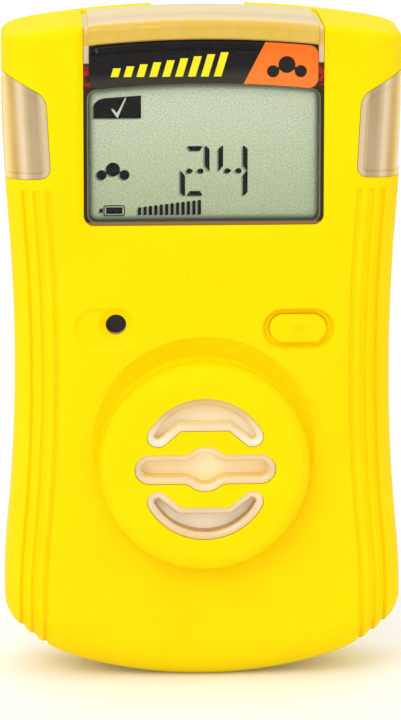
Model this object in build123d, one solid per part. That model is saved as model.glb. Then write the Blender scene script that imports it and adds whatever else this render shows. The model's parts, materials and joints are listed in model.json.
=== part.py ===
"""Portable single-gas detector with a clip on its back.

Millimetres, +Z up, the display faces -Y. The origin is on the floor under the middle of the case.
A soft yellow jacket is moulded over a clear rigid shell. The shell shows as the display window,
the top bar, two side windows and the rims of the three gas slots.
"""
import os
from math import sqrt

from build123d import *

# Case: outline, walls and depths
HEIGHT = 84.7
FRONT = -10.0
REAR = 8.5
SPLIT = 5.0
EDGE_R = 5.0
TOP_EDGE_R = 1.2
JACKET = 1.4
WALL = 1.2
TOP_ARC_R = 137.0
FOOT_FLAT = 0.22
# Radius and turn of each arc from the middle of the foot to the shoulder; a negative turn is concave.
SIDE_ARCS = (
    (55.0, 16.9),
    (18.0, 29.2),
    (5.3, 43.9),
    (78.5, 5.8),
    (216.0, -5.8),
    (250.0, -4.46),
    (218.0, 4.46),
)
INNER_FRONT = FRONT + JACKET + WALL
INNER_REAR = REAR - JACKET - WALL
INNER = JACKET + WALL
HAIRLINE = 0.06

# Display window, label and liquid-crystal display
WINDOW_HALF = 15.0
WINDOW_FOOT = 58.7
WINDOW_SINK = 0.35
WINDOW_ROUND = 1.3
WINDOW_BEVEL = (0.8, 1.25)
BAR_HALF = 14.4
BAR_DROP = 2.4
BAR_EDGE_R = 0.3
LABEL_HALF = 14.25
LABEL_TOP_DROP = 2.74
LABEL_FOOT_DROP = 8.1
LABEL_THICK = 0.45
LCD_HALF = 14.4
LCD_FOOT = 59.2
LCD_TOP_DROP = 8.3
LCD_FRONT = -8.5
LCD_THICK = 1.8
STRIP_Z = (60.9, 74.3)
NOTCH_HALF = 6.0
NOTCH_DEPTH = 2.2

# Side windows, drawn on the right: outer top, inner top, inner foot, outer foot
SIDE_WINDOW = ((27.0, 79.05), (19.6, 75.0), (19.05, 64.75), (27.0, 64.25))
SIDE_WINDOW_ROUND = (2.4, 1.3)
SIDE_WINDOW_REAR = -0.5
SIDE_WINDOW_RIM = 0.75
SIDE_WINDOW_SINK = 0.15

# Grip grooves, as distances in from the side; each is stepped, from a wide mouth to a narrow floor
GROOVES = (2.35, 3.73, 5.29)
GROOVE_WIDTHS = (0.95, 0.65, 0.35)
GROOVE_STEP = 0.08
GROOVE_TOP = 63.2

# Sensor boss and the moat around its upper half
BOSS_Z = 28.35
BOSS_R = 13.3
BOSS_FRONT = -14.0
BOSS_ROUND = 2.4
BOSS_FOOT = -10.4
BOSS_SKIRT = 0.55
MOAT_Z = 29.1
MOAT_R = 15.4
MOAT_DEPTH = 0.95
MOAT_ARC_R = 5.0
MOAT_TILT = 2.7
MOAT_LIP_R = 0.4
MOAT_LIP_PROUD = 0.1
MOAT_LIP_TILT = 0.35
DOME_R = 11.9
DOME_FRONT = -12.6
DOME_WALL = 0.9
WIDE_SLOT = (17.8, 3.86)
WIDE_SLOT_BULGE_R = 2.92
WIDE_SLOT_ROUND = 1.6
ARCH_SLOT_R = 8.23
ARCH_SLOT_RISE = 0.86
ARCH_SLOT_FLAT = (3.0, 4.85)
ARCH_SLOT_FOOT = (12.0, -2.7)
ARCH_SLOT_ROUND = 1.4
SLOT_RIM = 1.05
SLOT_RIM_FRONT = -13.7
SLOT_RIM_ROUND = 0.85
SENSOR_R = 10.0
SENSOR_LENGTH = 12.0

# Sounder port and power button
PORT_X = -11.0
PORT_Z = 46.0
PORT_R = 1.3
PORT_DISH_R = 2.3
PORT_DISH_DEPTH = 0.7
PORT_RECESS = (-12.25, 45.5, 8.4, 5.8)
RECESS_DEPTH = 0.35
RECESS_SLOPE = 0.55
BUTTON = (11.85, 45.5, 7.25, 3.6)
BUTTON_ROUND = 0.4
BUTTON_GROOVE = (11.88, 45.47, 9.15, 5.3)
BUTTON_GROOVE_DEPTH = 0.75
BUTTON_GROOVE_SLOPE = 0.4
BUTTON_GAP = 0.06
BUTTON_PROUD = 0.1
BUTTON_TRAVEL = 0.35
MARK_R = 0.82
MARK_STROKE = 0.22
MARK_PROUD = 0.12
STEM_R = 1.5
SWITCH_FRONT = -0.2

# Boards and battery
BOARD_FRONT = 3.5
BOARD_THICK = 1.0
DISPLAY_BOARD_FRONT = -5.2
BATTERY = (31.0, 24.0, 5.2)
BATTERY_Z = 66.0
BATTERY_FRONT = -3.9

# Vibration motor
MOTOR_Z = 46.4
MOTOR_Y = 1.2
MOTOR_R = 2.0
MOTOR_X = (-3.0, 4.0)
WEIGHT_R = 1.9
WEIGHT_LENGTH = 2.6
MOTOR_SHAFT_R = 0.4

# Housing screws
SCREWS = ((-18.6, 76.9), (18.6, 76.9), (-17.0, 10.6), (17.0, 10.6))
SCREW_R = 1.0
SCREW_HEAD_R = 1.8
INSERT_R = 1.5
POST_R = 2.2

# Clip
CLIP_PIVOT = (11.2, 63.0)
CLIP_PIN_R = 1.0
CLIP_SHEET = 0.9
CLIP_HALF = 5.6
CLIP_EAR_OUT = 7.4
CLIP_BASE_REAR = REAR - JACKET + 1.0
CLIP_SCREWS = (44.0, 52.0)
# Side view of the lever as (depth, height), from its thumb end down to its jaw
CLIP_SPINE = ((12.5, 82.6), (12.9, 76.0), (13.55, 66.0), (13.55, 52.0), (11.6, 40.0), (9.2, 33.0))


def slab(sketch, front, rear):
    """Extrude a front-view sketch between two depths."""
    return extrude(Plane.XZ.offset(-rear) * sketch, amount=rear - front)


def disc(x, z, radius, front, rear):
    """Round bar along the depth of the case."""
    return slab(Pos(x, z) * Circle(radius), front, rear)


def brick(x, y, z):
    """Block between pairs of X, Y and Z limits."""
    size = (x[1] - x[0], y[1] - y[0], z[1] - z[0])
    middle = ((x[0] + x[1]) / 2, (y[0] + y[1]) / 2, (z[0] + z[1]) / 2)
    return Pos(*middle) * Box(*size)


def spun(profile, x, z):
    """Turn a (radius, depth) profile about an axis along the depth of the case."""
    return revolve(Pos(x, 0, z) * profile, axis=Axis((x, 0, z), (0, 1, 0)))


def cross_bar(y, z, radius, x_from, x_to):
    """Round bar across the case."""
    return extrude(Plane.YZ.offset(x_from) * Pos(y, z) * Circle(radius), amount=x_to - x_from)


def both_sides(part):
    """The part and its mirror image on the left."""
    return part + mirror(part, Plane.YZ)


def side_curve(inset):
    """Right-hand edge of the case, from the middle of its foot up to its shoulder."""
    arcs = []
    start = (0, inset - FOOT_FLAT)
    heading = (1, 0)
    for radius, turn in SIDE_ARCS:
        bent = radius - inset if turn > 0 else radius + inset
        arc = JernArc(start=start, tangent=heading, radius=bent, arc_size=turn)
        arcs.append(arc)
        start = arc @ 1
        heading = arc % 1
    return arcs


def outline(inset):
    """Front view of the case, shrunk by the inset all round."""
    right = side_curve(inset)
    shoulder = right[-1] @ 1
    reach = TOP_ARC_R - inset
    corner = (shoulder.X, HEIGHT - TOP_ARC_R + sqrt(reach**2 - shoulder.X**2))
    right.append(Line(shoulder, corner))
    left = [mirror(edge, Plane.YZ) for edge in right]
    top = ThreePointArc(corner, (0, HEIGHT - inset), (-corner[0], corner[1]))
    return make_face([*right, top, *left])


def case_block(inset, front, rear, top_edge_r):
    """Solid case with soft side and foot edges and a tighter top edge."""
    block = slab(outline(inset), front, rear)
    faces = block.faces().sort_by(Axis.Y)
    rims = [face.edges().sort_by(Axis.Z)[0] for face in (faces[0], faces[-1])]
    block = fillet(rims, EDGE_R - inset)
    return fillet(block.faces().sort_by(Axis.Z)[-1].edges(), top_edge_r)


def under_top(drop, half):
    """Everything lower than a line that runs parallel to the top edge, between two sides."""
    ring = Pos(0, HEIGHT - TOP_ARC_R) * Circle(TOP_ARC_R - drop)
    return ring & (Pos(0, HEIGHT) * Rectangle(2 * half, HEIGHT))


def pill(x, z, length, height):
    """Slot with round ends."""
    return Pos(x, z) * SlotOverall(length, height)


def sloped_pill(spec, depth, slope):
    """Cutter for a pill-shaped hollow in the front, with walls that lean out towards the surface."""
    x, z, length, height = spec
    mouth = Plane.XZ.offset(depth - FRONT) * pill(x, z, length + 2 * slope, height + 2 * slope)
    floor = Plane.XZ.offset(-depth - FRONT) * pill(x, z, length - 2 * slope, height - 2 * slope)
    return loft([mouth, floor])


def window_sketch(gap):
    """Display window, open over the top edge."""
    half = WINDOW_HALF - gap
    foot = WINDOW_FOOT + gap
    sheet = Pos(0, foot + HEIGHT / 2) * Rectangle(2 * half, HEIGHT)
    return fillet(sheet.vertices().sort_by(Axis.Y)[:2], WINDOW_ROUND - gap)


def window_bevel():
    """Cutter for the slopes at the sides and foot that lead the jacket down to the window."""
    side, foot = WINDOW_BEVEL
    middle = WINDOW_FOOT + HEIGHT / 2
    mouth = Pos(0, middle - 2 * foot) * Rectangle(2 * WINDOW_HALF + 4 * side, HEIGHT)
    mouth = fillet(mouth.vertices().sort_by(Axis.Y)[:2], WINDOW_ROUND + 2 * side)
    front = Plane.XZ.offset(WINDOW_SINK - FRONT) * mouth
    return loft([front, Plane.XZ.offset(-WINDOW_SINK - FRONT) * window_sketch(0)])


def side_window_sketch(gap):
    """Side window on the right, open past the side."""
    sheet = make_face(Polyline(*SIDE_WINDOW, close=True))
    inner = sheet.vertices().sort_by(Axis.X)[:2]
    sheet = fillet(inner.sort_by(Axis.Y)[1], SIDE_WINDOW_ROUND[0])
    sheet = fillet(sheet.vertices().sort_by(Axis.Y)[0:2].sort_by(Axis.X)[0], SIDE_WINDOW_ROUND[1])
    return offset(sheet, -gap) if gap else sheet


def wide_slot():
    """Middle gas slot, about the boss centre, with its swelling in the middle."""
    slot = SlotOverall(*WIDE_SLOT) + Circle(WIDE_SLOT_BULGE_R)
    return fillet([v for v in slot.vertices() if abs(v.X) < WIDE_SLOT_BULGE_R], WIDE_SLOT_ROUND)


def arched_slot():
    """Upper gas slot, about the boss centre: a circle cut off by a bent line, with rounded corners."""
    flat, level = ARCH_SLOT_FLAT
    far, low = ARCH_SLOT_FOOT
    right = [(flat, level), (far, low), (far, -far)]
    left = [(-x, z) for x, z in reversed(right)]
    below = make_face(Polyline(*right, *left, close=True))
    slot = Pos(0, ARCH_SLOT_RISE) * Circle(ARCH_SLOT_R) - below
    return fillet(slot.vertices().sort_by(Axis.Y)[:2], ARCH_SLOT_ROUND)


def slots(gap):
    """The three gas slots in front view, shrunk by the gap."""
    arch = arched_slot()
    shapes = (wide_slot(), arch, mirror(arch, Plane.XZ))
    return [Pos(0, BOSS_Z) * (offset(shape, -gap) if gap else shape) for shape in shapes]


def moat():
    """Shallow dish cut around the boss, deepest at the top and fading out below."""
    floor_y = FRONT + MOAT_DEPTH
    centre_y = floor_y - MOAT_ARC_R
    above_y = FRONT - 1.0
    inner = MOAT_R - sqrt(MOAT_ARC_R**2 - (MOAT_ARC_R - MOAT_DEPTH) ** 2)
    outer = inner + sqrt(MOAT_ARC_R**2 - (above_y - centre_y) ** 2)
    lean = 0.4
    middle = (inner + MOAT_ARC_R * lean, centre_y + MOAT_ARC_R * sqrt(1 - lean**2))
    wall = ThreePointArc((outer, above_y), middle, (inner, floor_y))
    rest = Polyline((inner, floor_y), (0, floor_y), (0, FRONT - 6), (outer, FRONT - 6), (outer, above_y))
    dish = spun(make_face([wall, *rest.edges()]), 0, MOAT_Z)
    return dish.rotate(Axis((0, FRONT, MOAT_Z + MOAT_R), (1, 0, 0)), -MOAT_TILT)


def moat_lip():
    """Fine raised lip round the upper edge of the moat, sinking into the surface lower down."""
    middle = FRONT + MOAT_LIP_R - MOAT_LIP_PROUD
    ring = spun(Pos(MOAT_R, middle) * Circle(MOAT_LIP_R), 0, MOAT_Z)
    return ring.rotate(Axis((0, FRONT, MOAT_Z + MOAT_R), (1, 0, 0)), MOAT_LIP_TILT)


def round_cap(radius, front, rounding, rear):
    """Profile of a round boss with a rounded front edge."""
    wall_end = front + rounding
    knee = (radius - rounding * (1 - sqrt(0.5)), front + rounding * (1 - sqrt(0.5)))
    edge = ThreePointArc((radius, wall_end), knee, (radius - rounding, front))
    rest = Polyline((radius - rounding, front), (0, front), (0, rear), (radius, rear), (radius, wall_end))
    return make_face([edge, *rest.edges()])


def boss():
    """Round boss over the sensor: a straight wall that seats a calibration cap, on a skirt that flares out."""
    rear = FRONT + 1
    skirt = [(0, BOSS_FOOT), (BOSS_R, BOSS_FOOT), (BOSS_R + BOSS_SKIRT, rear), (0, rear)]
    body = spun(make_face(Polyline(*skirt, close=True)), 0, BOSS_Z)
    return body + spun(round_cap(BOSS_R, BOSS_FRONT, BOSS_ROUND, BOSS_FOOT), 0, BOSS_Z)


def groove_set(width, depth):
    """Cutter for the three grip grooves on each side, at an even depth below the surface."""
    ribbons = []
    for distance in GROOVES:
        edges = []
        ends = []
        for inset in (distance - width / 2, distance + width / 2):
            arcs = side_curve(inset)[3:]
            foot = arcs[0] @ 0
            head = arcs[-1] @ 1
            edges += [Line((foot.X, -5), foot), *arcs]
            ends.append(((foot.X, -5), (head.X, head.Y)))
        edges += [Line(ends[0][0], ends[1][0]), Line(ends[0][1], ends[1][1])]
        ribbon = make_face(edges) & (Pos(0, GROOVE_TOP - HEIGHT / 2) * Rectangle(100, HEIGHT))
        ribbons.append(slab(ribbon, FRONT - 1, FRONT + EDGE_R + 2))
    core = case_block(depth, FRONT + depth, REAR, 0.8)
    return both_sides(Part() + ribbons - core)


def half_space(front, rear):
    """Everything between two depths."""
    return brick((-40, 40), (front, rear), (-10, 100))


def jacket_block():
    """The yellow skin of the whole case, with a flat foot, before it is parted into front and rear."""
    body = case_block(0, FRONT, REAR, TOP_EDGE_R) & brick((-40, 40), (-20, 20), (0, 100))
    body += moat_lip()
    body -= moat()
    body += boss()
    for step, width in enumerate(GROOVE_WIDTHS):
        body -= groove_set(width, GROOVE_STEP * (step + 1))
    body -= case_block(JACKET, FRONT + JACKET, REAR - JACKET, 0.5)
    return body


def front_jacket(skin):
    """Soft front jacket with its openings."""
    body = skin & half_space(-20, SPLIT)
    body -= slab(window_sketch(0), -20, SPLIT + 1)
    body -= window_bevel()
    body -= both_sides(slab(side_window_sketch(0), -20, SIDE_WINDOW_REAR))
    body -= spun(round_cap(DOME_R, DOME_FRONT, 1.0, FRONT + 3), 0, BOSS_Z)
    for shape in slots(0):
        body -= slab(shape, -20, DOME_FRONT + 1)
    body -= sloped_pill(PORT_RECESS, RECESS_DEPTH, RECESS_SLOPE)
    body -= disc(PORT_X, PORT_Z, PORT_R, -20, 0)
    lip = FRONT + RECESS_DEPTH
    foot = lip + PORT_DISH_DEPTH
    funnel = [(0, lip - 1), (PORT_DISH_R, lip - 1), (PORT_DISH_R, lip), (PORT_R, foot), (0, foot)]
    body -= spun(make_face(Polyline(*funnel, close=True)), PORT_X, PORT_Z)
    x, z, length, height = BUTTON
    body -= sloped_pill(BUTTON_GROOVE, BUTTON_GROOVE_DEPTH, BUTTON_GROOVE_SLOPE)
    body -= slab(pill(x, z, length + 2 * BUTTON_GAP, height + 2 * BUTTON_GAP), -20, 0)
    return body


def notch():
    """Gap in the middle of the rear lip, where a thumb reaches the clip."""
    gap = Pos(0, HEIGHT - NOTCH_DEPTH + 5) * RectangleRounded(2 * NOTCH_HALF, 10, 1.2)
    return slab(gap, SPLIT - 1, REAR + 1)


def panel():
    """Sunk panel in the back of the case."""
    return Pos(0, 45.0) * RectangleRounded(33.0, 60.0, 4.0)


def rear_jacket(skin):
    """Soft rear jacket: a frame around the sunk panel."""
    body = skin & half_space(SPLIT, 20)
    body -= slab(panel(), 0, 20)
    for x, z in SCREWS:
        body -= disc(x, z, SCREW_HEAD_R + 0.4, 0, 20)
    return body - notch()


def side_window_sink(surface):
    """Shallow hollow inside the raised rim of each side window."""
    inside = slab(side_window_sketch(SIDE_WINDOW_RIM), -20, 20)
    below = case_block(SIDE_WINDOW_SINK, FRONT + SIDE_WINDOW_SINK, REAR, 1.0)
    return (surface & both_sides(inside)) - below


def top_bar(surface):
    """Clear bar over the label, flush with the jacket, with soft ends and a soft lower edge."""
    above = (Pos(0, HEIGHT) * Rectangle(2 * BAR_HALF, HEIGHT)) - under_top(BAR_DROP, WINDOW_HALF)
    bar = surface & slab(above, -20, SPLIT)
    ends = [edge for edge in bar.edges() if abs(edge.center().X) > BAR_HALF - 0.02]
    ends = [edge for edge in ends if edge.center().Z > HEIGHT - BAR_DROP - 0.3 and edge.center().Y < 0]
    foot = bar.faces().sort_by(Axis.Y)[0].edges().sort_by(Axis.Z)[0]
    return fillet([*ends, foot], BAR_EDGE_R)


def window_pad():
    """Clear parts of the shell that stand out to the surface of the jacket."""
    surface = case_block(0, FRONT, REAR, TOP_EDGE_R)
    sunk = case_block(WINDOW_SINK, FRONT + WINDOW_SINK, REAR, 1.0)
    core = case_block(JACKET, FRONT + JACKET, REAR - JACKET, 0.5)
    display = sunk & slab(window_sketch(HAIRLINE), -20, SPLIT)
    sides = surface & both_sides(slab(side_window_sketch(HAIRLINE), -20, SIDE_WINDOW_REAR - HAIRLINE))
    sides -= side_window_sink(surface)
    return display + top_bar(surface) + sides - core


def front_shell():
    """Clear front shell: a tray with windows, sensor dome, slot rims and screw posts."""
    body = case_block(JACKET, FRONT + JACKET, REAR - JACKET, 0.5) & half_space(-20, SPLIT)
    body -= case_block(INNER, INNER_FRONT, SPLIT + EDGE_R, 0.3)
    body += window_pad()
    body -= slab(lcd_sketch(-0.25), LCD_FRONT - 0.1, 0)
    body += spun(round_cap(DOME_R, DOME_FRONT, 1.0, INNER_FRONT), 0, BOSS_Z)
    body -= disc(0, BOSS_Z, DOME_R - DOME_WALL, DOME_FRONT + DOME_WALL, 0)
    for outer, inner in zip(slots(HAIRLINE), slots(SLOT_RIM)):
        body -= slab(inner, -20, DOME_FRONT + DOME_WALL + 1)
        rim = slab(outer, SLOT_RIM_FRONT, DOME_FRONT) - slab(inner, -20, 0)
        lip = rim.faces().sort_by(Axis.Y)[0].inner_wires()[0]
        body += fillet(lip.edges(), SLOT_RIM_ROUND)
    for x, z in SCREWS:
        body += disc(x, z, POST_R, INNER_FRONT - 0.2, SPLIT)
        body -= disc(x, z, INSERT_R, SPLIT - 5.0, SPLIT + 1)
        body -= disc(x, z, SCREW_R + 0.1, SPLIT - 7.0, SPLIT + 1)
    body -= disc(PORT_X, PORT_Z, PORT_R, -20, 0)
    body -= disc(BUTTON[0], BUTTON[1], STEM_R + BUTTON_GAP, -20, 0)
    return body


def rear_shell():
    """Rigid rear shell with a locating lip, screw holes and clip bosses."""
    body = case_block(JACKET, FRONT + JACKET, REAR - JACKET, 0.5) & half_space(SPLIT, 20)
    body -= case_block(INNER, INNER_FRONT, INNER_REAR, 0.3)
    body -= notch()
    lip = slab(outline(INNER + 0.15) - outline(INNER + 1.0), SPLIT - 1.5, INNER_REAR)
    for x, z in SCREWS:
        lip -= disc(x, z, POST_R + 0.2, 0, SPLIT)
        body += disc(x, z, POST_R, SPLIT, INNER_REAR)
    body += lip
    for z in CLIP_SCREWS:
        body += disc(0, z, 2.0, BOARD_FRONT + BOARD_THICK + 0.2, INNER_REAR)
        body -= disc(0, z, 0.9, 4.8, 20)
    for x, z in SCREWS:
        body -= disc(x, z, SCREW_R + 0.15, 0, 20)
        body -= disc(x, z, SCREW_HEAD_R + 0.15, INNER_REAR + 0.3, 20)
    return body


def perimeter_seal():
    """Elastomer cord between the locating lip and the screw posts."""
    ring = slab(outline(INNER + 0.2) - outline(INNER + 0.9), SPLIT - 2.4, SPLIT - 1.55)
    for x, z in SCREWS:
        ring -= disc(x, z, POST_R + 0.2, 0, SPLIT)
    return ring


def display_label():
    """Domed label between the display and the top bar."""
    band = under_top(LABEL_TOP_DROP, LABEL_HALF) - under_top(LABEL_FOOT_DROP, WINDOW_HALF + 1)
    band = fillet(band.vertices(), 1.2)
    base = FRONT + WINDOW_SINK
    label = slab(band, base - LABEL_THICK, base)
    return fillet(label.faces().sort_by(Axis.Y)[0].edges(), 0.3)


def lcd_sketch(inset):
    """Visible area of the display, with its arched top."""
    half = LCD_HALF - inset
    sheet = under_top(LCD_TOP_DROP + inset, half)
    sheet -= Pos(0, LCD_FOOT + inset - HEIGHT) * Rectangle(100, 2 * HEIGHT)
    return fillet(sheet.vertices(), 1.0)


def lcd_glass():
    """Liquid-crystal cell."""
    return slab(lcd_sketch(0), LCD_FRONT, LCD_FRONT + LCD_THICK)


def lcd_frame():
    """Frame that carries the display in front of its board."""
    rear = DISPLAY_BOARD_FRONT
    front = LCD_FRONT + LCD_THICK
    frame = slab(Pos(0, 67.6) * RectangleRounded(31.0, 18.4, 1.0), front, rear)
    frame -= slab(Pos(0, 67.6) * RectangleRounded(28.0, 15.4, 0.6), front - 1, rear + 1)
    for z in STRIP_Z:
        frame -= brick((-12.4, 12.4), (front - 1, rear + 1), (z - 1.0, z + 1.0))
    return frame


def contact_strips():
    """Elastomer strips that join the display to its board."""
    depths = (LCD_FRONT + LCD_THICK, DISPLAY_BOARD_FRONT)
    return Part() + [brick((-12.0, 12.0), depths, (z - 0.8, z + 0.8)) for z in STRIP_Z]


def display_board():
    """Board behind the display."""
    sheet = Pos(0, 68.0) * RectangleRounded(35.4, 20.5, 1.5)
    for x, z in SCREWS:
        sheet -= Pos(x, z) * Circle(POST_R + 0.3)
    return slab(sheet, DISPLAY_BOARD_FRONT, DISPLAY_BOARD_FRONT + BOARD_THICK)


def alarm_leds():
    """Two side lamps and one lamp under the top bar."""
    rear = DISPLAY_BOARD_FRONT
    lamps = [brick((x - 0.8, x + 0.8), (rear - 0.9, rear), (68.5, 71.7)) for x in (-16.7, 16.7)]
    lamps.append(brick((-1.6, 1.6), (rear - 0.9, rear), (76.9, 78.1)))
    return Part() + lamps


def side_diffusers():
    """Milky light pipes behind the side windows."""
    pipe = brick((19.6, 21.6), (-6.5, -3.2), (66.0, 74.2))
    return both_sides(fillet(pipe.edges(), 0.4))


def top_light_guide():
    """Milky light pipe behind the top bar."""
    pipe = brick((-13.5, 13.5), (-7.1, -1.5), (79.2, 80.9))
    return fillet(pipe.edges(), 0.5)


def battery():
    """Flat lithium cell."""
    width, tall, thick = BATTERY
    can = Pos(0, BATTERY_Z) * RectangleRounded(width, tall, 2.0)
    cell = slab(can, BATTERY_FRONT, BATTERY_FRONT + thick)
    return fillet(cell.faces().sort_by(Axis.Y)[0].edges(), 0.8)


def battery_tabs():
    """Two welded nickel tabs that lead back to the main board."""
    foot = BATTERY_Z - BATTERY[1] / 2
    rear = BATTERY_FRONT + BATTERY[2]
    tab = brick((6.0, 9.0), (rear, BOARD_FRONT), (foot + 1.0, foot + 1.2))
    return both_sides(tab)


def battery_pad():
    """Foam pad between the battery and the main board."""
    rear = BATTERY_FRONT + BATTERY[2]
    return slab(Pos(0, BATTERY_Z - 1.0) * RectangleRounded(28.0, 16.0, 1.0), rear, BOARD_FRONT)


def main_board():
    """Main circuit board."""
    return slab(Pos(0, 43.75) * RectangleRounded(39.2, 59.5, 2.0), BOARD_FRONT, BOARD_FRONT + BOARD_THICK)


def board_components():
    """Processor, clock crystal, capacitors and the display connector on the main board."""
    front = BOARD_FRONT
    chips = [brick((-16.0, -9.0), (front - 1.2, front), (17.0, 24.0))]
    chips += [brick((11.5, 13.5), (front - 1.6, front), (19.0, 25.0))]
    chips += [brick((x - 0.8, x + 0.8), (front - 0.9, front), (38.8, 40.0)) for x in (-14.0, -10.5, 12.0, 15.5)]
    chips += [brick((-6.0, 6.0), (front - 1.4, front), (52.0, 53.8))]
    return Part() + [fillet(chip.edges().filter_by(Axis.Y), 0.2) for chip in chips]


def display_flex():
    """Flat cable from the display board, under the battery, to the main board."""
    rear = DISPLAY_BOARD_FRONT + BOARD_THICK
    foot = BATTERY_Z - BATTERY[1] / 2 - 0.6
    strip = brick((-5.0, 5.0), (rear, rear + 0.15), (foot, 60.0))
    return strip + brick((-5.0, 5.0), (rear + 0.15, BOARD_FRONT - 1.4), (foot, foot + 0.15))


def tact_switch():
    """Push switch on the main board, with a bore for its plunger."""
    x, z = BUTTON[:2]
    body = brick((x - 3.0, x + 3.0), (SWITCH_FRONT, BOARD_FRONT), (z - 3.0, z + 3.0))
    body = fillet(body.edges().filter_by(Axis.Y), 0.4)
    return body - disc(x, z, STEM_R + 0.08, SWITCH_FRONT - 1, SWITCH_FRONT + 1.4)


def switch_plunger():
    """Plunger of the push switch, carried by the button's stem."""
    return disc(BUTTON[0], BUTTON[1], STEM_R, SWITCH_FRONT - 0.8, SWITCH_FRONT + 0.8)


def power_button():
    """Yellow pill button with a long stem and a collar that keeps it in the shell."""
    x, z, length, height = BUTTON
    front = FRONT - BUTTON_PROUD
    cap = slab(pill(x, z, length, height), front, FRONT + JACKET - BUTTON_TRAVEL - 0.15)
    cap = fillet(cap.faces().sort_by(Axis.Y)[0].edges(), BUTTON_ROUND)
    collar = disc(x, z, STEM_R + 0.9, INNER_FRONT + 0.2, INNER_FRONT + 0.8)
    button = cap + disc(x, z, STEM_R, FRONT + 0.5, SWITCH_FRONT - 0.8) + collar
    return button + power_mark(front)


def power_mark(front):
    """Small raised on-off sign: an open ring with a stroke."""
    x, z = BUTTON[:2]
    gap = Pos(0, MARK_R) * Rectangle(3 * MARK_STROKE, 1.5 * MARK_R)
    ring = Circle(MARK_R) - Circle(MARK_R - MARK_STROKE) - gap
    sign = ring + Pos(0, 0.65 * MARK_R) * Rectangle(MARK_STROKE, 0.9 * MARK_R)
    return slab(Pos(x, z - 0.4) * sign, front - MARK_PROUD, front)


def sounder():
    """Sounder can with its sound hole towards the port."""
    can = disc(PORT_X, PORT_Z, 5.5, INNER_FRONT + 0.6, BOARD_FRONT)
    can = fillet(can.faces().sort_by(Axis.Y)[0].edges(), 0.5)
    return can - disc(PORT_X, PORT_Z, 1.0, INNER_FRONT, INNER_FRONT + 3.0)


def sounder_mesh():
    """Dark water-tight membrane across the sound port."""
    return disc(PORT_X, PORT_Z, 2.6, INNER_FRONT, INNER_FRONT + 0.3)


def sensor_filter():
    """White membrane behind the gas slots."""
    front = DOME_FRONT + DOME_WALL
    return disc(0, BOSS_Z, SENSOR_R + 0.5, front, front + 0.35)


def sensor_gasket():
    """Ring that seals the sensor against the filter."""
    front = DOME_FRONT + DOME_WALL + 0.35
    ring = disc(0, BOSS_Z, SENSOR_R + 0.4, front, front + 0.8)
    return ring - disc(0, BOSS_Z, SENSOR_R - 1.2, front - 1, front + 2)


def sensor_cell():
    """Electrochemical gas sensor."""
    front = DOME_FRONT + DOME_WALL + 1.15
    cell = disc(0, BOSS_Z, SENSOR_R, front, front + SENSOR_LENGTH)
    cell = fillet(cell.edges(), 0.5)
    return cell - disc(0, BOSS_Z, 1.2, front - 1, front + 0.8)


def sensor_pins():
    """Three contact pins from the sensor to the main board."""
    rear = DOME_FRONT + DOME_WALL + 1.15 + SENSOR_LENGTH
    spots = PolarLocations(6.5, 3, start_angle=90)
    pins = [disc(spot.position.X, BOSS_Z + spot.position.Y, 0.75, rear, BOARD_FRONT) for spot in spots]
    return Part() + pins


def vibration_motor():
    """Small cylindrical motor lying across the main board."""
    can = cross_bar(MOTOR_Y, MOTOR_Z, MOTOR_R, *MOTOR_X)
    can = fillet(can.edges(), 0.3)
    bore = cross_bar(MOTOR_Y, MOTOR_Z, MOTOR_SHAFT_R + 0.05, MOTOR_X[1] - 2.0, MOTOR_X[1] + 1)
    return can - bore


def motor_cradle():
    """Rubber cradle that holds the motor on the board."""
    block = brick((MOTOR_X[0] + 0.6, MOTOR_X[1] - 0.8), (MOTOR_Y, BOARD_FRONT), (MOTOR_Z - 2.6, MOTOR_Z + 2.6))
    return block - cross_bar(MOTOR_Y, MOTOR_Z, MOTOR_R, -8, 8)


def motor_shaft():
    """Shaft that turns in the motor."""
    return cross_bar(MOTOR_Y, MOTOR_Z, MOTOR_SHAFT_R, MOTOR_X[1] - 1.8, MOTOR_X[1] + 0.5 + WEIGHT_LENGTH)


def motor_weight():
    """Off-centre weight pressed on the shaft."""
    start = MOTOR_X[1] + 0.4
    weight = cross_bar(MOTOR_Y, MOTOR_Z, WEIGHT_R, start, start + WEIGHT_LENGTH)
    upper = brick((start - 1, start + WEIGHT_LENGTH + 1), (-6, 8), (MOTOR_Z + 0.7, MOTOR_Z + 4))
    return weight - upper - cross_bar(MOTOR_Y, MOTOR_Z, MOTOR_SHAFT_R, start - 1, start + 9)


def inserts():
    """Brass threaded inserts in the front shell's posts."""
    rings = []
    for x, z in SCREWS:
        ring = disc(x, z, INSERT_R, SPLIT - 5.0, SPLIT - 1.0)
        rings.append(ring - disc(x, z, SCREW_R, SPLIT - 6.0, SPLIT))
    return Part() + rings


def screw(x, z, seat, length, radius, head_r):
    """Cross-head screw driven in from the rear."""
    head = disc(x, z, head_r, seat, seat + 0.8)
    head = fillet(head.faces().sort_by(Axis.Y)[-1].edges(), 0.25)
    cross = Rectangle(head_r * 1.2, 0.35) + Rectangle(0.35, head_r * 1.2)
    head -= slab(Pos(x, z) * cross, seat + 0.35, seat + 1.0)
    return head + disc(x, z, radius, seat - length, seat)


def housing_screws():
    """Four screws that hold the two halves together."""
    return Part() + [screw(x, z, INNER_REAR + 0.3, 6.5, SCREW_R, SCREW_HEAD_R) for x, z in SCREWS]


def rear_label():
    """Blank rating label below the clip, on the sunk panel."""
    sheet = Pos(0, 21.5) * RectangleRounded(26.0, 10.0, 1.5)
    return slab(sheet, REAR - JACKET, REAR - JACKET + 0.15)


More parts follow.
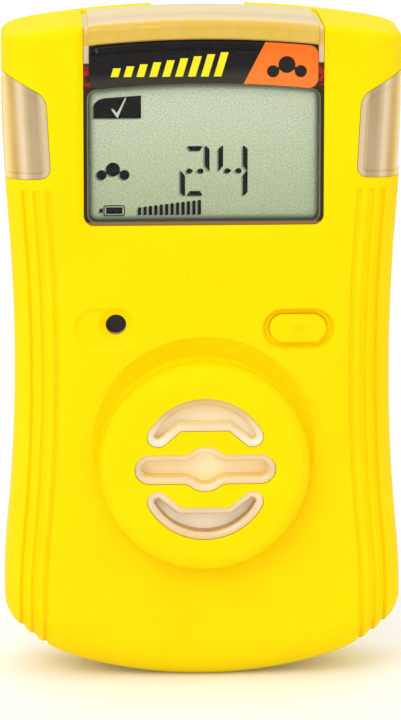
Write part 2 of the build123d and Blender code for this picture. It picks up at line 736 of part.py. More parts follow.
def clip_base():
    """Steel base of the clip: a plate with two upright ears for the pin."""
    seat = REAR - JACKET
    y, z = CLIP_PIVOT
    plate = slab(Pos(0, 51.0) * RectangleRounded(2 * CLIP_EAR_OUT, 46.0, 2.0), seat, CLIP_BASE_REAR)
    ear = Pos(y, z) * Circle(2.4) + Pos((seat + y) / 2, z) * Rectangle(y - seat, 4.8)
    for side in (CLIP_EAR_OUT - CLIP_SHEET, -CLIP_EAR_OUT):
        plate += extrude(Plane.YZ.offset(side) * ear, amount=CLIP_SHEET)
    plate -= cross_bar(y, z, CLIP_PIN_R, -20, 20)
    for screw_z in CLIP_SCREWS:
        plate -= disc(0, screw_z, 1.25, 0, 20)
    return plate


def clip_pin():
    """Hinge pin with rounded heads."""
    y, z = CLIP_PIVOT
    pin = cross_bar(y, z, CLIP_PIN_R, -CLIP_EAR_OUT - 0.1, CLIP_EAR_OUT + 0.1)
    for side in (CLIP_EAR_OUT, -CLIP_EAR_OUT - 0.6):
        head = cross_bar(y, z, CLIP_PIN_R + 0.5, side, side + 0.6)
        outer = head.faces().sort_by(Axis.X)[-1 if side > 0 else 0]
        pin += fillet(outer.edges(), 0.25)
    return pin


def clip_lever():
    """Steel lever: a bent strap with a thumb end above the pin, ears on it, and a toothed jaw below."""
    y, z = CLIP_PIVOT
    spine = FilletPolyline(*CLIP_SPINE, radius=3.0)
    band = make_face(offset(spine, CLIP_SHEET / 2, side=Side.BOTH, kind=Kind.ARC))
    strap = extrude(Plane.YZ.offset(-CLIP_HALF) * band, amount=2 * CLIP_HALF)
    top = CLIP_SPINE[0][1] + CLIP_SHEET
    strap &= slab(Pos(0, top - 50) * RectangleRounded(2 * CLIP_HALF, 100, 2.5), 0, 20)
    for step in range(3):
        strap += cross_bar(13.0 - 0.06 * step, 77.0 + 1.5 * step, 0.4, 1 - CLIP_HALF, CLIP_HALF - 1)
    for step in range(6):
        strap -= Pos(2.0 * step - 5.0, 9.1, CLIP_SPINE[-1][1] - 0.5) * Rot(0, 45, 0) * Box(0.9, 4, 0.9)
    ear = Pos(y, z) * Circle(2.3) + Pos((y + 13.2) / 2, z) * Rectangle(13.2 - y, 4.6)
    for side in (CLIP_HALF - CLIP_SHEET, -CLIP_HALF):
        strap += extrude(Plane.YZ.offset(side) * ear, amount=CLIP_SHEET)
    return strap - cross_bar(y, z, CLIP_PIN_R + 0.06, -20, 20)


def clip_spring():
    """Torsion spring wound round the hinge pin."""
    y, z = CLIP_PIVOT
    wire = 0.25
    coil_r = CLIP_PIN_R + 0.4
    pitch = 0.75
    height = 7.5
    path = Plane.YZ.offset(-height / 2) * Pos(y, z) * Helix(pitch, height, coil_r)
    start = path @ 0
    tip = Plane(origin=start, z_dir=path % 0)
    return sweep(tip * Circle(wire), path=path)


def clip_screws():
    """Two low screws that hold the clip on the rear shell."""
    return Part() + [screw(0, z, CLIP_BASE_REAR, 3.2, 0.9, 1.7) for z in CLIP_SCREWS]


def jaw_pad():
    """Rubber grip pad on the base, under the jaw."""
    pad = slab(Pos(0, 34.0) * RectangleRounded(11.0, 6.0, 1.0), CLIP_BASE_REAR, CLIP_BASE_REAR + 0.45)
    for step in range(4):
        pad -= brick((-8, 8), (CLIP_BASE_REAR + 0.3, 12), (31.8 + step * 1.3, 32.3 + step * 1.3))
    return pad


def main():
    """Build every piece and write it as its own file."""
    skin = jacket_block()
    pieces = {
        "front_jacket": front_jacket(skin),
        "rear_jacket": rear_jacket(skin),
        "front_shell": front_shell(),
        "rear_shell": rear_shell(),
        "perimeter_seal": perimeter_seal(),
        "display_label": display_label(),
        "lcd_glass": lcd_glass(),
        "lcd_frame": lcd_frame(),
        "contact_strips": contact_strips(),
        "display_board": display_board(),
        "display_flex": display_flex(),
        "alarm_leds": alarm_leds(),
        "side_diffusers": side_diffusers(),
        "top_light_guide": top_light_guide(),
        "battery": battery(),
        "battery_tabs": battery_tabs(),
        "battery_pad": battery_pad(),
        "main_board": main_board(),
        "board_components": board_components(),
        "tact_switch": tact_switch(),
        "switch_plunger": switch_plunger(),
        "power_button": power_button(),
        "sounder": sounder(),
        "sounder_mesh": sounder_mesh(),
        "sensor_filter": sensor_filter(),
        "sensor_gasket": sensor_gasket(),
        "sensor_cell": sensor_cell(),
        "sensor_pins": sensor_pins(),
        "vibration_motor": vibration_motor(),
        "motor_cradle": motor_cradle(),
        "motor_shaft": motor_shaft(),
        "motor_weight": motor_weight(),
        "inserts": inserts(),
        "housing_screws": housing_screws(),
        "rear_label": rear_label(),
        "clip_base": clip_base(),
        "clip_pin": clip_pin(),
        "clip_lever": clip_lever(),
        "clip_spring": clip_spring(),
        "clip_screws": clip_screws(),
        "jaw_pad": jaw_pad(),
    }
    os.makedirs("parts", exist_ok=True)
    for name, piece in pieces.items():
        export_step(piece, f"parts/{name}.step")


main()
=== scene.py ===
"""Looks of the portable gas detector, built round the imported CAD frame, in metres."""
import json
import math

import bmesh
import bpy
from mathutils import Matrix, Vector


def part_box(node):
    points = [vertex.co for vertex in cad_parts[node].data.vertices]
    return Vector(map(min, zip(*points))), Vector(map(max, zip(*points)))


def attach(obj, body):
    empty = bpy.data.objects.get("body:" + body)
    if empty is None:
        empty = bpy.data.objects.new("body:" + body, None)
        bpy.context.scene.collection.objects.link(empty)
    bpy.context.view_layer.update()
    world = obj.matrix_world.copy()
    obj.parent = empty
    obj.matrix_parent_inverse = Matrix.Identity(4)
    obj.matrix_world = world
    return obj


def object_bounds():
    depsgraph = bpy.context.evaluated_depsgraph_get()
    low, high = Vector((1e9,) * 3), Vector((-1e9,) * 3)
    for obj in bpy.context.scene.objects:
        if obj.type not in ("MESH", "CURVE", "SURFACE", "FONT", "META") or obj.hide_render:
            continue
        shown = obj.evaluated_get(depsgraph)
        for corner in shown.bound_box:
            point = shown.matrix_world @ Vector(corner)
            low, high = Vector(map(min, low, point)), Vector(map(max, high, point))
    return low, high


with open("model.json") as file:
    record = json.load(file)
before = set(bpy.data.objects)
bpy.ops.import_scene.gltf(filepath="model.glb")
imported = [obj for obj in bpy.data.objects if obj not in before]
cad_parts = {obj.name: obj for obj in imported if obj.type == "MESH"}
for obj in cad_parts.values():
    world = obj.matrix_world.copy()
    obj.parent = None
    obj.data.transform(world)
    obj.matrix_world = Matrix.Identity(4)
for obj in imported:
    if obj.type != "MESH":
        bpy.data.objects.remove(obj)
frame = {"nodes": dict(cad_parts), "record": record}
cad_low, cad_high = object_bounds()

MM = 0.001
WHITE = (1.0, 1.0, 1.0, 1.0)


# Places read from the frame, and the sizes of the zones that the materials paint

LCD_LOW, LCD_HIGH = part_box("lcd_glass")
LABEL_LOW, LABEL_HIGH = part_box("display_label")
SHELL_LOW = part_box("front_shell")[0]
BOSS = sum(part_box("sensor_filter"), Vector()) / 2

# The radius of the case's top arc, the corners of the display and the label, and the label's slanted flag
TOP_ARC_R = 137.0 * MM
LCD_ROUND = 1.0 * MM
LABEL_ROUND = 1.2 * MM
LABEL_FOOT = cad_high.z - 8.1 * MM
FLAG_FOOT = 4.6 * MM
FLAG_LEAN = 0.52

# Where the clear shell's zones end: top of the boss, inner edge of the side windows and foot of the top bar
BOSS_ZONE_TOP = 50.0 * MM
WINDOW_INNER = 18.0 * MM
BAR_FOOT = cad_high.z - 2.6 * MM
# How the top bar's tones run from front to back
BAR_FRONT = SHELL_LOW.y + 4.0 * MM
BAR_DEEP = 10.0 * MM
# The slanted inner edge of a side window, and how wide the window is
WINDOW_FOOT = 69.4 * MM
WINDOW_FOOT_X = 19.8 * MM
WINDOW_SLANT = 0.055
WINDOW_WIDE = 5.6 * MM
# Half the height of the three slots together, with their rims and inside them
SLOTS_HALF = 9.2 * MM
SLOTS_INNER_HALF = 9.0 * MM
# The red specks and the cream corners beside the label
SPECKS_MID = 77.5 * MM
CORNER_FOOT = 79.0 * MM
CORNER_INNER = 14.3 * MM


# Node helpers

class Tree:
    """A small wrapper that makes a material's nodes and links in one line each."""

    def __init__(self, name):
        self.material = bpy.data.materials.new(name)
        self.material.use_nodes = True
        self.nodes = self.material.node_tree.nodes
        self.links = self.material.node_tree.links
        self.nodes.clear()
        self.output = self.nodes.new("ShaderNodeOutputMaterial")
        self.coords = self.nodes.new("ShaderNodeTexCoord").outputs["Object"]

    def put(self, socket, value):
        """Set a socket from a number, a colour or another socket."""
        if isinstance(value, bpy.types.NodeSocket):
            self.links.new(value, socket)
        else:
            socket.default_value = value

    def math(self, operation, a, b=0.0):
        """One arithmetic step."""
        node = self.nodes.new("ShaderNodeMath")
        node.operation = operation
        self.put(node.inputs[0], a)
        self.put(node.inputs[1], b)
        return node.outputs[0]

    def noise(self, per_mm, detail=3.0, rough=0.5, stretch=None):
        """Noise with its scale given per millimetre."""
        node = self.nodes.new("ShaderNodeTexNoise")
        node.inputs["Scale"].default_value = per_mm / MM
        node.inputs["Detail"].default_value = detail
        node.inputs["Roughness"].default_value = rough
        self.links.new(self.stretched(stretch) if stretch else self.coords, node.inputs["Vector"])
        return node.outputs["Fac"]

    def stretched(self, scale):
        """Object coordinates scaled along each axis."""
        node = self.nodes.new("ShaderNodeMapping")
        node.inputs["Scale"].default_value = scale
        self.links.new(self.coords, node.inputs["Vector"])
        return node.outputs["Vector"]

    def axes(self):
        """The x, y and z of a point, in metres."""
        node = self.nodes.new("ShaderNodeSeparateXYZ")
        self.links.new(self.coords, node.inputs[0])
        return node.outputs

    def ramp(self, factor, stops):
        """Colour ramp through (position, colour) stops."""
        node = self.nodes.new("ShaderNodeValToRGB")
        self.put(node.inputs[0], factor)
        band = node.color_ramp
        for position, _ in stops[2:]:
            band.elements.new(position)
        for element, (position, colour) in zip(band.elements, stops):
            element.position = position
            element.color = (*colour, 1.0)
        return node.outputs["Color"]

    def span(self, value, low, high, out_low=0.0, out_high=1.0):
        """Map a value from one range to another, smoothly and clamped."""
        node = self.nodes.new("ShaderNodeMapRange")
        node.interpolation_type = "SMOOTHSTEP"
        self.put(node.inputs["Value"], value)
        node.inputs["From Min"].default_value = low
        node.inputs["From Max"].default_value = high
        node.inputs["To Min"].default_value = out_low
        node.inputs["To Max"].default_value = out_high
        return node.outputs["Result"]

    def mix(self, factor, a, b):
        """Colour a where the factor is 0, and b where it is 1."""
        node = self.nodes.new("ShaderNodeMix")
        node.data_type = "RGBA"
        self.put(node.inputs["Factor"], factor)
        for socket, value in ((node.inputs[6], a), (node.inputs[7], b)):
            self.put(socket, value if isinstance(value, bpy.types.NodeSocket) else (*value, 1.0))
        return node.outputs[2]

    def occlusion(self, distance_mm):
        """How open a point is within a distance, looking at its own piece only: 1 is fully open."""
        node = self.nodes.new("ShaderNodeAmbientOcclusion")
        node.inputs["Distance"].default_value = distance_mm * MM
        node.only_local = True
        node.samples = 8
        return node.outputs["AO"]

    def arch(self):
        """Height, measured so that it is even along the case's arched top edge."""
        x, _, z = self.axes()
        return self.math("ADD", z, self.math("MULTIPLY", self.math("MULTIPLY", x, x), 0.5 / TOP_ARC_R))

    def roundness(self, up, low, high, half, radius):
        """Distance from the corner centres of a rounded shape: the radius on its outline, and less inside."""
        across = self.math("ABSOLUTE", self.axes()[0])
        side = self.math("MAXIMUM", self.math("SUBTRACT", across, half - radius), 0.0)
        foot = self.math("SUBTRACT", low + radius, up)
        head = self.math("SUBTRACT", self.arch(), high - radius)
        tall = self.math("MAXIMUM", self.math("MAXIMUM", foot, head), 0.0)
        squares = self.math("ADD", self.math("MULTIPLY", side, side), self.math("MULTIPLY", tall, tall))
        return self.math("SQRT", squares)

    def bump(self, height, distance_mm, strength=1.0):
        """Normal of a surface raised by a height of 0 to 1 times the distance."""
        node = self.nodes.new("ShaderNodeBump")
        node.inputs["Strength"].default_value = strength
        node.inputs["Distance"].default_value = distance_mm * MM
        self.put(node.inputs["Height"], height)
        return node.outputs["Normal"]

    def surface(self, colour, roughness, normal=None, **extra):
        """Principled surface. extra names sockets with spaces written as underscores."""
        node = self.nodes.new("ShaderNodeBsdfPrincipled")
        if isinstance(colour, tuple):
            colour = (*colour, 1.0)
        self.put(node.inputs["Base Color"], colour)
        self.put(node.inputs["Roughness"], roughness)
        if normal is not None:
            self.links.new(normal, node.inputs["Normal"])
        for name, value in extra.items():
            self.put(node.inputs[name.replace("_", " ")], value)
        return node.outputs[0]

    def done(self, shader):
        """Finish the material with a shader as its surface."""
        self.links.new(shader, self.output.inputs["Surface"])
        return self.material


# Materials of the object

def yellow_rubber():
    """Soft saturated yellow overmould with a fine matte grain, and painted shade: deeper colour in its hollows and
    a broad darkening round raised parts.
    """
    t = Tree("yellow_overmould")
    grain = t.noise(9.0, 2.0, 0.6)
    cloud = t.noise(0.08, 3.0)
    colour = t.ramp(cloud, ((0.3, (1.0, 0.71, 0.0003)), (0.7, (1.0, 0.755, 0.001))))
    # Painted shade: a broad darkening round raised parts such as the sensor boss, found by occlusion over 20 mm
    painted_broad_shade = t.span(t.occlusion(20.0), 0.25, 0.96)
    colour = t.mix(painted_broad_shade, (1.0, 0.66, 0.0), colour)
    # Painted shade: deeper colour in tight hollows and creases, found by occlusion over 3 mm
    painted_hollow_shade = t.span(t.occlusion(3.0), 0.1, 0.6)
    colour = t.mix(painted_hollow_shade, (1.0, 0.76, 0.0), colour)
    roughness = t.span(grain, 0.3, 0.7, 0.45, 0.58)
    normal = t.bump(grain, 0.02, 0.25)
    return t.done(t.surface(
        colour, roughness, normal,
        Specular_IOR_Level=0.05,
        Subsurface_Weight=0.1,
        Subsurface_Radius=(1.0, 0.6, 0.02),
        Subsurface_Scale=0.0008,
    ))


def clear_polycarbonate():
    """Smoky clear shell: see-through over the display, golden in the bar and windows, cream in the slot rims, with
    painted highlights and shade in the bar, windows and rims.
    """
    t = Tree("smoked_polycarbonate")
    x, y, z = t.axes()
    across = t.math("ABSOLUTE", x)
    haze = t.noise(0.5, 3.0, stretch=(1.0, 1.0, 0.35))
    from_display = t.roundness(z, LCD_LOW.z, LCD_HIGH.z, LCD_HIGH.x, LCD_ROUND)

    # The top bar, from its front edge back: gold front, a painted highlight band on the rounded front edge, then
    # the paler top
    bar = t.ramp(t.math("DIVIDE", t.math("SUBTRACT", y, BAR_FRONT), BAR_DEEP), (
        (0.00, (0.71, 0.45, 0.015)),
        (0.08, (0.95, 0.69, 0.28)),
        (0.28, (0.96, 0.71, 0.30)),
        (0.45, (0.92, 0.61, 0.20)),
        (0.68, (0.97, 0.72, 0.23)),
        (1.00, (0.99, 0.79, 0.24)),
    ))
    # The side windows, from their slanted inner edge outwards: the plastic's own tan and gold, with painted
    # highlight bands on its rounded rim and edge
    slant = t.math("MULTIPLY", t.math("SUBTRACT", z, WINDOW_FOOT), WINDOW_SLANT)
    outward = t.math("SUBTRACT", t.math("SUBTRACT", across, slant), WINDOW_FOOT_X)
    side = t.ramp(t.math("DIVIDE", outward, WINDOW_WIDE), (
        (0.02, (0.66, 0.50, 0.27)),
        (0.08, (0.56, 0.42, 0.20)),
        (0.13, (0.40, 0.28, 0.13)),
        (0.30, (0.41, 0.29, 0.13)),
        (0.40, (0.58, 0.43, 0.23)),
        (0.47, (0.79, 0.61, 0.37)),
        (0.54, (0.75, 0.57, 0.33)),
        (0.61, (0.64, 0.41, 0.14)),
        (0.67, (0.57, 0.34, 0.055)),
        (0.74, (0.70, 0.43, 0.05)),
        (0.81, (0.88, 0.62, 0.11)),
        (0.90, (0.95, 0.68, 0.20)),
        (1.00, (0.95, 0.73, 0.33)),
    ))
    # The slot rims from the lowest up: tan plastic with painted light and shade where each rim faces up or down,
    # and the walls behind them darkened with painted shade
    up = t.math("DIVIDE", t.math("SUBTRACT", z, BOSS.z - SLOTS_HALF), 2 * SLOTS_HALF)
    rims_lit_and_shaded = t.ramp(up, (
        (0.00, (0.80, 0.58, 0.28)),
        (0.10, (0.84, 0.64, 0.34)),
        (0.22, (0.85, 0.66, 0.42)),
        (0.33, (0.94, 0.78, 0.52)),
        (0.40, (0.92, 0.69, 0.35)),
        (0.50, (0.76, 0.58, 0.34)),
        (0.60, (0.90, 0.68, 0.34)),
        (0.68, (0.98, 0.87, 0.62)),
        (0.78, (0.90, 0.72, 0.46)),
        (0.88, (0.74, 0.52, 0.24)),
        (1.00, (0.76, 0.50, 0.17)),
    ))
    walls_shaded = t.ramp(up, ((0.2, (0.50, 0.20, 0.01)), (0.45, (0.92, 0.62, 0.09)), (0.75, (0.98, 0.78, 0.36))))
    rims_lit_and_shaded = t.mix(t.span(y, SHELL_LOW.y + 0.35 * MM, SHELL_LOW.y + 0.6 * MM), rims_lit_and_shaded, walls_shaded)
    # The narrow strips round the display and the label, with red specks, cream corners and a painted highlight
    # line along the display's bevelled edge
    # Painted highlight: a thin paler line round the display's edge
    bevel_highlight = t.math("LESS_THAN", from_display, LCD_ROUND + 0.16 * MM)
    strip = t.mix(t.span(z, LCD_LOW.z - 0.1 * MM, LCD_LOW.z), (0.30, 0.13, 0.025), (0.030, 0.019, 0.005))
    from_red = t.math("ABSOLUTE", t.math("SUBTRACT", z, SPECKS_MID))
    near_red = t.span(from_red, 0.9 * MM, 1.5 * MM, 1.0, 0.0)
    red = t.math("MULTIPLY", t.span(t.noise(1.4, 3.0, 0.7), 0.47, 0.55), near_red)
    strip = t.mix(red, strip, (0.45, 0.012, 0.008))
    outer = t.math("GREATER_THAN", across, CORNER_INNER)
    corner = t.math("MULTIPLY", t.span(z, CORNER_FOOT, CORNER_FOOT + 0.3 * MM), outer)
    strip = t.mix(corner, strip, (0.72, 0.55, 0.34))
    strip = t.mix(bevel_highlight, strip, (0.17, 0.16, 0.10))
    # Each zone in its place; haze and flecks only where the plastic is milky
    over_label = t.math("GREATER_THAN", t.arch(), BAR_FOOT)
    beside = t.math("GREATER_THAN", across, WINDOW_INNER)
    on_boss = t.math("LESS_THAN", z, BOSS_ZONE_TOP)
    tone = t.mix(over_label, strip, bar)
    tone = t.mix(beside, tone, side)
    tone = t.mix(on_boss, tone, rims_lit_and_shaded)
    lively = t.math("MAXIMUM", t.math("MAXIMUM", over_label, beside), on_boss)
    tone = t.mix(t.math("MULTIPLY", t.span(haze, 0.2, 0.8, 0.0, 0.1), lively), tone, (0.99, 0.86, 0.60))
    fleck = t.math("MULTIPLY", t.span(t.noise(5.0, 2.0, 0.7), 0.35, 0.7, 0.0, 0.14), lively)
    tone = t.mix(fleck, tone, (0.42, 0.30, 0.13))
    milky = t.surface(
        tone, 0.22,
        Specular_IOR_Level=t.span(lively, 0.0, 1.0, 0.15, 0.5),
        Coat_Weight=t.span(lively, 0.0, 1.0, 0.04, 0.35),
        Coat_Roughness=0.08,
        Subsurface_Weight=0.15,
        Subsurface_Radius=(1.0, 0.7, 0.3),
        Subsurface_Scale=0.001,
    )

    # The pane over the display is see-through
    clear = t.math("LESS_THAN", from_display, LCD_ROUND)
    through = t.nodes.new("ShaderNodeBsdfTransparent")
    through.inputs["Color"].default_value = (0.97, 0.98, 0.96, 1.0)
    gloss = t.nodes.new("ShaderNodeBsdfGlossy")
    gloss.inputs["Roughness"].default_value = 0.04
    rim = t.nodes.new("ShaderNodeFresnel")
    rim.inputs["IOR"].default_value = 1.18
    pane = t.nodes.new("ShaderNodeMixShader")
    t.put(pane.inputs[0], rim.outputs[0])
    t.links.new(through.outputs[0], pane.inputs[1])
    t.links.new(gloss.outputs[0], pane.inputs[2])
    both = t.nodes.new("ShaderNodeMixShader")
    t.put(both.inputs[0], clear)
    t.links.new(milky, both.inputs[1])
    t.links.new(pane.outputs[0], both.inputs[2])
    return t.done(both.outputs[0])


def charcoal_plastic():
    """Dark engineering plastic with a spark-eroded grain."""
    t = Tree("charcoal_plastic")
    grain = t.noise(6.0, 3.0, 0.65)
    colour = t.ramp(grain, ((0.25, (0.016, 0.016, 0.018)), (0.8, (0.035, 0.035, 0.038))))
    return t.done(t.surface(colour, t.span(grain, 0.3, 0.7, 0.42, 0.6), t.bump(grain, 0.04, 0.5)))


def label_gloss():
    """Domed black label with an orange flag on its right under clear resin; a painted reflection makes it greyer,
    and the orange lighter, towards its foot.
    """
    t = Tree("domed_label")
    x, _, z = t.axes()
    edge = t.math("SUBTRACT", x, t.math("MULTIPLY", t.math("SUBTRACT", z, LABEL_LOW.z), FLAG_LEAN))
    flag = t.math("GREATER_THAN", edge, FLAG_FOOT)
    arch = t.arch()
    # Painted reflection: a wavy grey band over the lower part of the black
    reflection_wave = t.math("MULTIPLY", t.noise(0.18, 2.0), 2.4 * MM)
    rise = t.span(t.math("ADD", arch, reflection_wave), LABEL_LOW.z + 2.6 * MM, LABEL_LOW.z + 4.4 * MM)
    speck = t.noise(3.0, 3.0)
    black = t.mix(rise, (0.031, 0.029, 0.021), (0.002, 0.001, 0.0006))
    black = t.mix(t.span(speck, 0.3, 0.8, 0.0, 0.25), black, (0.03, 0.027, 0.022))
    # Painted reflection: the orange is lighter towards its foot
    orange_reflection = t.span(arch, LABEL_LOW.z, LABEL_HIGH.z)
    orange = t.mix(orange_reflection, (0.93, 0.22, 0.028), (0.90, 0.165, 0.010))
    colour = t.mix(flag, black, orange)
    to_edge = t.roundness(arch, LABEL_FOOT, LABEL_HIGH.z, LABEL_HIGH.x, LABEL_ROUND)
    dome = t.span(to_edge, 0.0, LABEL_ROUND, 1.0, 0.0)
    ripple = t.math("MULTIPLY", t.noise(0.12, 2.0), 0.4)
    return t.done(t.surface(
        colour, 0.08, t.bump(t.math("ADD", dome, ripple), 0.35, 0.8),
        Specular_IOR_Level=0.2,
    ))


def lcd_face():
    """Grey-green reflective display with a fine grain and the shadow of its frame round the border."""
    t = Tree("lcd_face")
    _, _, z = t.axes()
    grain = t.noise(5.3, 1.0, 0.5)
    tone = t.mix(t.span(z, LCD_LOW.z, LCD_HIGH.z), (0.64, 0.71, 0.485), (0.85, 0.905, 0.71))
    light = t.ramp(grain, ((0.25, (0.63, 0.66, 0.63)), (0.75, (1.13, 1.11, 1.13))))
    base = t.nodes.new("ShaderNodeMix")
    base.data_type = "RGBA"
    base.blend_type = "MULTIPLY"
    base.inputs["Factor"].default_value = 1.0
    t.links.new(tone, base.inputs[6])
    t.links.new(light, base.inputs[7])
    to_edge = t.roundness(z, LCD_LOW.z, LCD_HIGH.z, LCD_HIGH.x, LCD_ROUND)
    border = t.span(to_edge, LCD_ROUND * 0.15, LCD_ROUND * 1.1)
    colour = t.mix(border, base.outputs[2], (0.10, 0.11, 0.075))
    return t.done(t.surface(colour, 0.35, t.bump(grain, 0.02, 0.3), Specular_IOR_Level=0.2))


def lcd_ink():
    """Switched-on liquid crystal: near black, faintly brown."""
    t = Tree("lcd_ink")
    grain = t.noise(8.0, 2.0)
    ink = t.ramp(grain, ((0.3, (0.006, 0.005, 0.005)), (0.8, (0.012, 0.010, 0.009))))
    return t.done(t.surface(ink, 0.5, Specular_IOR_Level=0.1))


def lcd_shadow():
    """Soft shadow that the segments throw on the reflector behind them."""
    t = Tree("lcd_shadow")
    grain = t.noise(7.0, 3.0, 0.7)
    return t.done(t.surface(t.ramp(grain, ((0.25, (0.24, 0.29, 0.20)), (0.75, (0.34, 0.40, 0.28)))), 0.5))


def plain_plastic(name, dark, light, roughness=0.4, per_mm=1.5, **extra):
    """Moulded plastic with a light mottling."""
    def make():
        t = Tree(name)
        mottle = t.noise(per_mm, 4.0, 0.55)
        colour = t.ramp(mottle, ((0.3, dark), (0.75, light)))
        rough = t.span(mottle, 0.2, 0.8, roughness - 0.05, roughness + 0.08)
        return t.done(t.surface(colour, rough, t.bump(mottle, 0.02, 0.3), **extra))
    return make


def brushed_metal(name, dark, light, roughness, stretch):
    """Metal with fine brush marks and some duller patches."""
    def make():
        t = Tree(name)
        marks = t.noise(3.0, 4.0, 0.7, stretch=stretch)
        patches = t.noise(0.15, 2.0)
        colour = t.ramp(marks, ((0.3, dark), (0.75, light)))
        lined = t.span(marks, 0.2, 0.8, roughness - 0.06, roughness + 0.08)
        rough = t.math("ADD", lined, t.span(patches, 0.4, 0.7, 0.0, 0.08))
        return t.done(t.surface(colour, rough, t.bump(marks, 0.01, 0.4), Metallic=1.0))
    return make


def membrane():
    """Porous cream filter with a faint felt-like grain, painted shade down the slots, and a faint painted glow
    that stands in for light through the clear rims.
    """
    t = Tree("filter_membrane")
    felt = t.noise(4.0, 5.0, 0.75)
    from_low = t.math("SUBTRACT", t.axes()[2], BOSS.z - SLOTS_INNER_HALF)
    up = t.math("DIVIDE", from_low, 2 * SLOTS_INNER_HALF)
    # Painted shade: darker, warmer bands across the slots where their rims shade the filter
    shade = t.ramp(up, (
        (0.06, (0.99, 0.95, 0.74)),
        (0.28, (0.99, 0.94, 0.74)),
        (0.40, (0.99, 0.85, 0.46)),
        (0.47, (0.98, 0.82, 0.50)),
        (0.56, (0.98, 0.85, 0.58)),
        (0.63, (0.97, 0.88, 0.62)),
        (0.70, (0.99, 0.97, 0.86)),
        (0.82, (0.99, 0.92, 0.74)),
        (0.92, (0.88, 0.72, 0.46)),
    ))
    colour = t.mix(t.span(felt, 0.3, 0.75, 0.0, 0.08), shade, (0.84, 0.78, 0.64))
    return t.done(t.surface(
        colour, 0.85, t.bump(felt, 0.05, 0.6),
        # Painted glow: a faint warm emission that brightens the filter deep in its slots
        Emission_Color=(1.0, 0.75, 0.40, 1.0),
        Emission_Strength=0.11,
    ))


MAKERS = {
    "yellow_rubber": yellow_rubber,
    "clear_polycarbonate": clear_polycarbonate,
    "charcoal_plastic": charcoal_plastic,
    "black_gloss": label_gloss,
    "lcd": lcd_face,
    "white_plastic": plain_plastic("white_plastic", (0.70, 0.68, 0.62), (0.82, 0.80, 0.75)),
    "milky_plastic": plain_plastic("milky_plastic", (0.78, 0.62, 0.36), (0.90, 0.78, 0.52), 0.3, 0.6),
    "seal_rubber": plain_plastic("seal_rubber", (0.012, 0.012, 0.012), (0.03, 0.03, 0.03), 0.7, 3.0),
    "board_green": plain_plastic("solder_mask", (0.01, 0.09, 0.035), (0.02, 0.16, 0.06), 0.35, 0.8),
    "membrane": membrane,
    "battery_wrap": plain_plastic("battery_foil", (0.30, 0.31, 0.33), (0.46, 0.47, 0.50), 0.3, 0.5),
    "steel": brushed_metal("spring_steel", (0.42, 0.42, 0.42), (0.66, 0.66, 0.65), 0.28, (8.0, 1.0, 0.15)),
    "brass": brushed_metal("brass", (0.55, 0.36, 0.12), (0.80, 0.60, 0.28), 0.25, (1.0, 4.0, 1.0)),
    "copper_flex": plain_plastic("amber_film", (0.42, 0.17, 0.03), (0.58, 0.27, 0.06), 0.3, 1.0),
    "foam": plain_plastic("foam", (0.02, 0.02, 0.022), (0.06, 0.06, 0.06), 0.85, 4.0),
    "label_film": plain_plastic("label_film", (0.60, 0.60, 0.58), (0.72, 0.72, 0.70), 0.35, 0.7),
}


def dress_frame():
    """Give every CAD node the material of its slot."""
    made = {slot: maker() for slot, maker in MAKERS.items()}
    for row in frame["record"]["subparts"]:
        node = frame["nodes"][row["node"]]
        node.data.materials.clear()
        node.data.materials.append(made[row["material_slot"]])
    return made


# Flat pieces printed on a surface

def plate(name, outlines, front, thick, material):
    """Thin solids on the case that face -Y. Each outline is a list of (x, z) points in millimetres."""
    mesh = bpy.data.meshes.new(name)
    bm = bmesh.new()
    for outline in outlines:
        near = [bm.verts.new((x * MM, front, z * MM)) for x, z in outline]
        far = [bm.verts.new((x * MM, front + thick, z * MM)) for x, z in outline]
        bm.faces.new(near)
        bm.faces.new(far[::-1])
        for i, start in enumerate(near):
            j = (i + 1) % len(near)
            bm.faces.new((near[j], start, far[i], far[j]))
    bmesh.ops.recalc_face_normals(bm, faces=bm.faces)
    bm.to_mesh(mesh)
    bm.free()
    mesh.materials.append(material)
    piece = bpy.data.objects.new(name, mesh)
    bpy.context.scene.collection.objects.link(piece)
    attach(piece, "case")


def round_spot(x, z, radius, steps=28):
    """Outline of a circle."""
    return [
        (x + radius * math.cos(math.tau * i / steps), z + radius * math.sin(math.tau * i / steps))
        for i in range(steps)
    ]


def bar_between(x0, z0, x1, z1, width):
    """Outline of a straight stroke with square ends."""
    length = math.hypot(x1 - x0, z1 - z0)
    side_x = (z0 - z1) / length * width / 2
    side_z = (x1 - x0) / length * width / 2
    near = [(x0 + side_x, z0 + side_z), (x0 - side_x, z0 - side_z)]
    return near + [(x1 - side_x, z1 - side_z), (x1 + side_x, z1 + side_z)]


def molecule(x, z, size):
    """Outlines of a small sign of three joined atoms, the middle one larger and higher."""
    small = 0.36 * size
    large = 0.5 * size
    reach = 0.82 * size
    rise = 0.4 * size
    long = math.hypot(reach, rise)
    outlines = [round_spot(x, z + rise, large)]
    for side in (-1, 1):
        outlines.append(round_spot(x + side * reach, z, small))
        start = (large - 0.01) / long
        end = 1 - (small - 0.01) / long
        ends = [(x + side * reach * step, z + rise - rise * step) for step in (start, end)]
        outlines.append(bar_between(*ends[0], *ends[1], 0.18 * size))
    return outlines


def rounded_box(x0, z0, x1, z1, radius, steps=6):
    """Outline of a rectangle with rounded corners."""
    points = []
    for corner, (x, z) in enumerate(((x1, z1), (x0, z1), (x0, z0), (x1, z0))):
        cx = x - radius if corner in (0, 3) else x + radius
        cz = z - radius if corner in (0, 1) else z + radius
        for i in range(steps + 1):
            angle = math.pi / 2 * (corner + i / steps)
            points.append((cx + radius * math.cos(angle), cz + radius * math.sin(angle)))
    return points


# Seven-segment digits, in millimetres

DIGIT_WIDE = 3.66
DIGIT_HIGH = 6.27
STROKE = 0.6
SEGMENTS_ON = {2: "abged", 4: "fgbc"}
SHADOW_LEFT = 0.2
SHADOW_DOWN = 0.15


def mirrored(points, about):
    """Points reflected left to right."""
    return [(2 * about - x, z) for x, z in points]


def flipped(points, about):
    """Points reflected top to bottom."""
    return [(x, 2 * about - z) for x, z in points]


